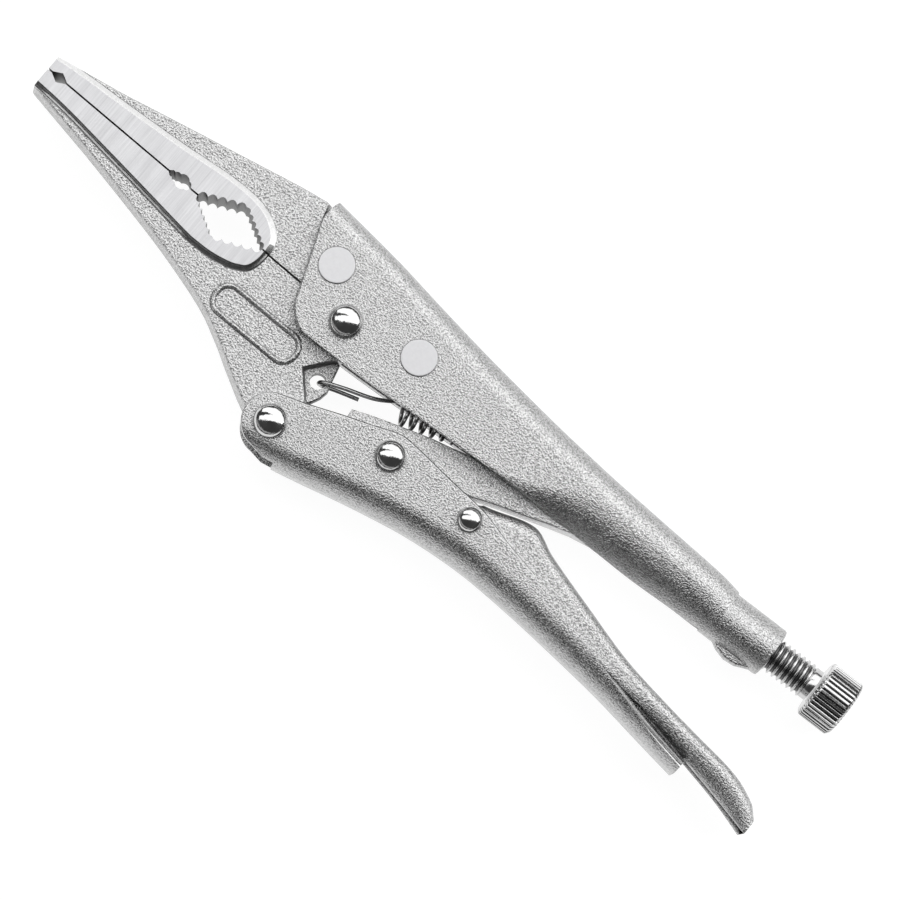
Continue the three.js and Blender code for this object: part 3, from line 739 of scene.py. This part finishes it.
def makeReleaseLever():
    s = leverSizes
    body = channel("release_lever_fine", s["keys"], s["rows"], 10)
    front = [(30, 0), (30, -20), (45, -20), (37.5, -15.4), *arc(leverPin, s["nose"], -100, -210, 20),
             (36, -8.6), (38, 0)]
    cut(body, edgeCutter(front, fits["lever"], s["edge"]))
    cut(body, hole(leverPin, fits["leverBore"]))
    return settle(clean(body), "release_lever", [handleSkin], 40)


linkSizes = {
    "top": [(9.7, -10.0), (14, -8.3), (22, -5.6), (26, -4.5), (34, -2.2), (48, 1.9)],
    "bottom": [(50, -2.9), (44, -4.9), (33.5, -8.8), (26, -13.5)],
    "end": (62.0, 2.2), "endRadius": 2.5, "boss": 4.0,
    "levels": [(0, 0), (2.35, 0), (2.6, 0.1), (2.7, 0.35)],
}


def makeToggleLink():
    s = linkSizes
    outline = curveThrough(s["top"], 4) + arc(s["end"], s["endRadius"], 107, -70, 20)
    outline += curveThrough(s["bottom"], 4) + arc(linkPin, s["boss"], -30, -150, 16) + [(9.9, -11.9)]
    link = plate("toggle_link_fine", outline, bothSides(s["levels"]))
    cut(link, hole(linkPin, fits["pinBore"]))
    return settle(clean(link), "toggle_link", [handleSkin], 35)


makeFixedHandle()
makeMovingHandle()
makeReleaseLever()
makeToggleLink()


pinSizes = {
    "jaw_pivot_pin": {"body": "fixed_handle", "spot": (0, 0), "shank": 2.2, "head": 2.85, "dome": 2.0},
    "handle_pin": {"body": "lower_jaw", "spot": handlePin, "shank": 2.2, "head": 2.85, "dome": 2.0},
    "link_pin": {"body": "moving_handle", "spot": linkPin, "shank": 2.2, "head": 2.6, "dome": 1.9},
    "lever_pin": {"body": "moving_handle", "spot": leverPin, "shank": 1.6, "head": 2.1, "dome": 1.55},
}


def domedPin(node, s):
    # a flat tail that reaches the rest face, a shank, and a dome on a thin rim
    head, shank = s["head"], s["shank"]
    tail = pivot.z / mm
    seat = fits["earOut"] + 0.05
    foot = seat + 0.2
    profile = [(0, -tail), (head - 0.3, -tail), (head - 0.08, -tail + 0.08), (head, -tail + 0.3),
               (head, -seat), (shank, -seat), (shank, seat), (head - 0.12, seat), (head, seat + 0.1),
               (head, foot)]
    for i in range(1, 17):
        a = math.pi / 2 * i / 16.5
        profile.append((head * math.cos(a), foot + s["dome"] * math.sin(a)))
    profile.append((0, foot + s["dome"]))
    return settle(turned(node + "_fine", profile, s["spot"]), s["body"], [domePlate], 35)


def flushRivet(node, spot):
    low, high = -6.2, 5.84
    profile = [(0, low), (2.9, low), (3.0, low + 0.1), (3.0, -5.62), (2.3, -5.62), (2.3, 5.3), (2.96, 5.46),
               (3.02, high - 0.1), (2.97, high - 0.02), (2.9, high), (2.7, high - 0.03), (0, high - 0.03)]
    rivet = turned(node + "_fine", profile, spot)
    return settle(rivet, "fixed_handle", [rivetFace], 30)


def makeAnchor():
    profile = [(0, -3.2), (0.75, -3.2), (0.88, -3.12), (0.9, -2.95)]
    profile += [(radius, -height) for radius, height in reversed(profile)]
    anchor = turned("spring_anchor_fine", profile, anchorSpot, 40)
    return settle(anchor, "fixed_handle", [wireSkin])


for pinNode, pinSize in pinSizes.items():
    domedPin(pinNode, pinSize)
for rivetNode, rivetSpot in zip(("jaw_rivet_front", "jaw_rivet_rear"), rivetSpots):
    flushRivet(rivetNode, rivetSpot)
makeAnchor()


class Tree:
    # a geometry nodes tree with named inputs, for the thread, the knurl and the spring's wire
    def __init__(self, name, inputs):
        self.tree = bpy.data.node_groups.new(name, "GeometryNodeTree")
        side = self.tree.interface
        side.new_socket("Geometry", in_out="INPUT", socket_type="NodeSocketGeometry")
        self.names = {}
        for label, kind in inputs.items():
            socket = side.new_socket(label, in_out="INPUT", socket_type="NodeSocket" + kind)
            self.names[label] = socket.identifier
        side.new_socket("Geometry", in_out="OUTPUT", socket_type="NodeSocketGeometry")
        self.start = self.tree.nodes.new("NodeGroupInput").outputs

    def node(self, kind, links=None, **settings):
        node = self.tree.nodes.new(kind)
        for key, value in settings.items():
            setattr(node, key, value)
        for socket, source in (links or {}).items():
            if isinstance(source, bpy.types.NodeSocket):
                self.tree.links.new(source, node.inputs[socket])
            else:
                node.inputs[socket].default_value = source
        return node.outputs

    def math(self, operation, a, b=0.0):
        return self.node("ShaderNodeMath", {0: a, 1: b}, operation=operation)[0]

    def end(self, geometry):
        real = self.node("GeometryNodeRealizeInstances", {0: geometry})[0]
        smooth = self.node("GeometryNodeSetShadeSmooth", {0: real})[0]
        painted = self.node("GeometryNodeSetMaterial", {0: smooth, "Material": self.start["Material"]})[0]
        self.tree.links.new(painted, self.tree.nodes.new("NodeGroupOutput").inputs[0])
        return self

    def run(self, piece, values):
        made = piece.modifiers.new("nodes", "NODES")
        made.node_group = self.tree
        for label, value in values.items():
            made[self.names[label]] = value
        return made


def polarFields(tree):
    place = tree.node("GeometryNodeInputPosition")[0]
    x, y, z = tree.node("ShaderNodeSeparateXYZ", {0: place})[:3]
    turn = tree.math("DIVIDE", tree.math("ARCTAN2", y, x), 2 * math.pi)
    return x, y, z, turn


def scaledAround(tree, mesh, x, y, z, factor):
    moved = tree.node("ShaderNodeCombineXYZ", {0: tree.math("MULTIPLY", x, factor),
                                               1: tree.math("MULTIPLY", y, factor), 2: z})[0]
    return tree.node("GeometryNodeSetPosition", {0: mesh, "Position": moved})[0]


def threadTree():
    tree = Tree("screw_thread", {"Length": "Float", "Radius": "Float", "Depth": "Float", "Pitch": "Float",
                                 "Rows": "Int", "Material": "Material"})
    size = tree.start
    rod = tree.node("GeometryNodeMeshCylinder", {"Vertices": 48, "Side Segments": size["Rows"],
                                                 "Radius": size["Radius"], "Depth": size["Length"]})[0]
    x, y, z, turn = polarFields(tree)
    phase = tree.math("FRACT", tree.math("SUBTRACT", tree.math("DIVIDE", z, size["Pitch"]), turn))
    flank = tree.math("MULTIPLY", tree.math("ABSOLUTE", tree.math("SUBTRACT", phase, 0.5)), 2.0)
    groove = tree.node("ShaderNodeMapRange", {"Value": flank, "From Min": 0.12, "From Max": 0.86},
                       interpolation_type="SMOOTHSTEP")[0]
    depth = tree.math("DIVIDE", tree.math("MULTIPLY", groove, size["Depth"]), size["Radius"])
    return tree.end(scaledAround(tree, rod, x, y, z, tree.math("SUBTRACT", 1.0, depth)))


def knurlTree():
    tree = Tree("knob_knurl", {"Length": "Float", "Radius": "Float", "Depth": "Float", "Ridges": "Int",
                               "Chamfer": "Float", "Material": "Material"})
    size = tree.start
    around = tree.math("MULTIPLY", size["Ridges"], 10.0)
    drum = tree.node("GeometryNodeMeshCylinder", {"Vertices": around, "Side Segments": 26,
                                                  "Radius": size["Radius"], "Depth": size["Length"]})[0]
    x, y, z, turn = polarFields(tree)
    phase = tree.math("FRACT", tree.math("MULTIPLY", turn, size["Ridges"]))
    flank = tree.math("MULTIPLY", tree.math("ABSOLUTE", tree.math("SUBTRACT", phase, 0.5)), 2.0)
    groove = tree.node("ShaderNodeMapRange", {"Value": flank, "From Min": 0.45, "From Max": 0.95},
                       interpolation_type="SMOOTHSTEP")[0]
    ridged = tree.math("SUBTRACT", size["Radius"], tree.math("MULTIPLY", groove, size["Depth"]))
    toEnd = tree.math("SUBTRACT", tree.math("MULTIPLY", size["Length"], 0.5), tree.math("ABSOLUTE", z))
    slope = tree.math("ADD", tree.math("SUBTRACT", size["Radius"], size["Chamfer"]), toEnd)
    factor = tree.math("DIVIDE", tree.math("MINIMUM", ridged, slope), size["Radius"])
    return tree.end(scaledAround(tree, drum, x, y, z, factor))


def wireTree():
    tree = Tree("spring_wire", {"Wire": "Float", "Material": "Material"})
    size = tree.start
    section = tree.node("GeometryNodeCurvePrimitiveCircle", {"Resolution": 12, "Radius": size["Wire"]})[0]
    wire = tree.node("GeometryNodeCurveToMesh", {0: size["Geometry"], 1: section, "Fill Caps": True})[0]
    return tree.end(wire)


def fromNodes(name, tree, values, source=None):
    piece = source or newPiece(name, [], [])
    tree.run(piece, values)
    view = bpy.context.evaluated_depsgraph_get()
    mesh = bpy.data.meshes.new_from_object(piece.evaluated_get(view))
    bpy.data.objects.remove(piece)
    made = bpy.data.objects.new(name, mesh)
    bpy.context.scene.collection.objects.link(made)
    return made


def grooved(floor, start, end):
    # a sorting rule that gives the floors of grooves between two reaches their painted shade
    def rule(face):
        spot = face.center
        high = (spot.y - screwLift - screwSlope * spot.x) * math.cos(math.atan(screwSlope))
        inGroove = abs(face.normal.x) <= 0.9 and math.hypot(high, spot.z) < floor
        return int(inGroove and start < spot.x < end)
    return rule


def alongScrew(piece, middle):
    # from a part standing on z to the screw's line, its middle at that reach
    piece.data.transform(Matrix.Translation((middle, 0, 0)) @ Matrix.Rotation(math.pi / 2, 4, "Y"))
    return onScrew(piece)


screwSizes = {
    "tip": 67.2, "threadStart": 76.0, "threadEnd": 95.0, "end": 96.2,
    "radius": 3.0, "depth": 0.56, "pitch": 1.0, "rowsPerMm": 12, "collar": 2.8,
}


def makeScrew():
    s = screwSizes
    start, end, core = s["threadStart"], s["threadEnd"], s["radius"] - s["depth"]
    screw = fromNodes("adjusting_screw_fine", threadTree(), {
        "Length": end - start, "Radius": s["radius"], "Depth": s["depth"], "Pitch": s["pitch"],
        "Rows": int((end - start) * s["rowsPerMm"]), "Material": screwPlate})
    alongScrew(screw, (start + end) / 2)
    nose = turnedOnScrew("nose", [(core - 0.7, s["tip"]), (core, s["tip"] + 0.7), (core, start + 0.3)])
    collar = turnedOnScrew("collar", [(core, end - 0.3), (s["collar"] - 0.1, end - 0.1),
                                      (s["collar"], end + 0.05), (s["collar"], s["end"])])
    join(screw, nose, collar)
    rule = grooved(s["radius"] - s["depth"] * 0.6, start, end - 0.4)
    return settle(screw, "adjusting_screw", [screwPlate, grooveShade], 50, rule)


knobSizes = {"front": 96.5, "rear": 102.7, "radius": 5.1, "ridges": 40, "groove": 0.36, "chamfer": 0.5}


def makeKnob():
    s = knobSizes
    knob = fromNodes("screw_knob_fine", knurlTree(), {
        "Length": s["rear"] - s["front"], "Radius": s["radius"], "Depth": s["groove"],
        "Ridges": s["ridges"], "Chamfer": s["chamfer"], "Material": screwPlate})
    alongScrew(knob, (s["front"] + s["rear"]) / 2)
    rule = grooved(s["radius"] - s["groove"] * 0.38, s["front"] + 0.6, s["rear"] - 0.5)
    return settle(knob, "screw_knob", [screwPlate, grooveShade], 40, rule)


springSizes = {
    "coil": 1.9, "wire": 0.36, "turns": 13, "start": (15.9, -5.2),
    "leg": [(9.3, -7.5, -2.2), (5.6, -8.7, -2.1), (3.4, -9.6, -1.7), (2.7, -9.9, 0), (3.4, -9.5, 1.8),
            (6.5, -8.2, 2.2), (11.5, -6.2, 1.6)],
    "hookEnd": (4.2, -9.2, 0), "coilEnd": (30, 0, 0),  # the spots of the hook's end and of the coil's rear end
}


def coilPoint(t):
    s = springSizes
    start = Vector((*s["start"], 0))
    axis = Vector((*anchorSpot, 0)) - start
    length = axis.length - 4
    axis.normalize()
    angle = math.pi / 2 + 2 * math.pi * s["turns"] * t
    across = Vector((-axis.y, axis.x, 0)) * s["coil"] * math.sin(angle)
    return start + axis * length * t + across + Vector((0, 0, s["coil"] * math.cos(angle)))


def makeSpring():
    s = springSizes
    line = [Vector(p) for p in curveThrough([*s["leg"], tuple(coilPoint(0))], 10)]
    line += [coilPoint(i / (s["turns"] * 28)) for i in range(1, s["turns"] * 28 + 1)]
    path = bpy.data.curves.new("path", "CURVE")
    path.dimensions = "3D"
    spline = path.splines.new("POLY")
    spline.points.add(len(line) - 1)
    for point, spot in zip(spline.points, line):
        point.co = (*spot, 1)
    source = bpy.data.objects.new("path", path)
    bpy.context.scene.collection.objects.link(source)
    spring = fromNodes("return_spring_fine", wireTree(), {"Wire": s["wire"], "Material": wireSkin}, source)
    settle(faceOut(spring), None, [wireSkin], 50)
    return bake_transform(spring)


makeScrew()
makeKnob()
makeSpring()


stageSizes = {
    "floorHalf": 3, "floorShade": 0.15, "floorRoughness": 0.9, "floorGlow": 0.93, "room": 0.055,
    # degrees from overhead towards the fixed handle, degrees towards the screw, then the distance,
    # the width and the height in metres, and the glow
    "softboxes": {
        "overhead_box": (11, -6, 1.0, 3.6, 0.5, 1.68),
        "middle_box": (40, -6, 1.0, 3.8, 0.42, 1.75),
        "side_box": (61, -8, 1.0, 4.0, 0.34, 1.6),
        "low_fill": (-72, 0, 1.0, 3.0, 0.24, 0.4),
    },
    "lens": 156, "sensor": 36, "near": 0.01, "far": 20,
    "aim": (0.00675, -0.00011, 0.0129), "distance": 0.62907,
    "back": (0.02773, -0.13899, 0.98990), "right": (0.77103, 0.63323, 0.06731),
}


def makeFloor():
    half, shade = stageSizes["floorHalf"], stageSizes["floorShade"]
    corners = [(-half, -half, 0), (half, -half, 0), (half, half, 0), (-half, half, 0)]
    floor = newPiece("floor", corners, [(0, 1, 2, 3)])
    material = bpy.data.materials.new("pale_floor")
    material.use_nodes = True
    shader = material.node_tree.nodes["Principled BSDF"]
    shader.inputs["Base Color"].default_value = (shade, shade, shade, 1)
    shader.inputs["Roughness"].default_value = stageSizes["floorRoughness"]
    shader.inputs["Emission Color"].default_value = (1, 1, 1, 1)
    shader.inputs["Emission Strength"].default_value = stageSizes["floorGlow"]
    floor.data.materials.append(material)


def makeSoftbox(name, lean, aside, distance, width, height, glow):
    lamp = bpy.data.lights.new(name, "AREA")
    lamp.shape = "RECTANGLE"
    lamp.size = width
    lamp.size_y = height
    lamp.energy = glow * math.pi * width * height
    box = bpy.data.objects.new(name, lamp)
    bpy.context.scene.collection.objects.link(box)
    lean, aside = math.radians(lean), math.radians(aside)
    out = Vector((math.sin(aside), math.sin(lean) * math.cos(aside), math.cos(lean) * math.cos(aside)))
    box.location = out * distance
    box.visible_camera = False
    box.rotation_mode = "QUATERNION"
    box.rotation_quaternion = out.to_track_quat("Z", "Y")


def makeCamera():
    s = stageSizes
    lens = bpy.data.cameras.new("camera")
    lens.lens = s["lens"]
    lens.sensor_width = s["sensor"]
    lens.clip_start = s["near"]
    lens.clip_end = s["far"]
    camera = bpy.data.objects.new("camera", lens)
    bpy.context.scene.collection.objects.link(camera)
    back = Vector(s["back"]).normalized()
    right = Vector(s["right"])
    right = (right - back * right.dot(back)).normalized()
    turn = Matrix((right, back.cross(right), back)).transposed().to_4x4()
    camera.matrix_world = Matrix.Translation(Vector(s["aim"]) + back * s["distance"]) @ turn
    bpy.context.scene.camera = camera


def makeRoom():
    world = bpy.data.worlds.new("room")
    world.use_nodes = True
    shade = stageSizes["room"]
    world.node_tree.nodes["Background"].inputs["Color"].default_value = (shade, shade, shade, 1)
    bpy.context.scene.world = world
    bpy.context.scene.view_settings.view_transform = "Standard"


makeFloor()
for boxName, boxSizes in stageSizes["softboxes"].items():
    makeSoftbox(boxName, *boxSizes)
makeRoom()
makeCamera()
print("stage ready")
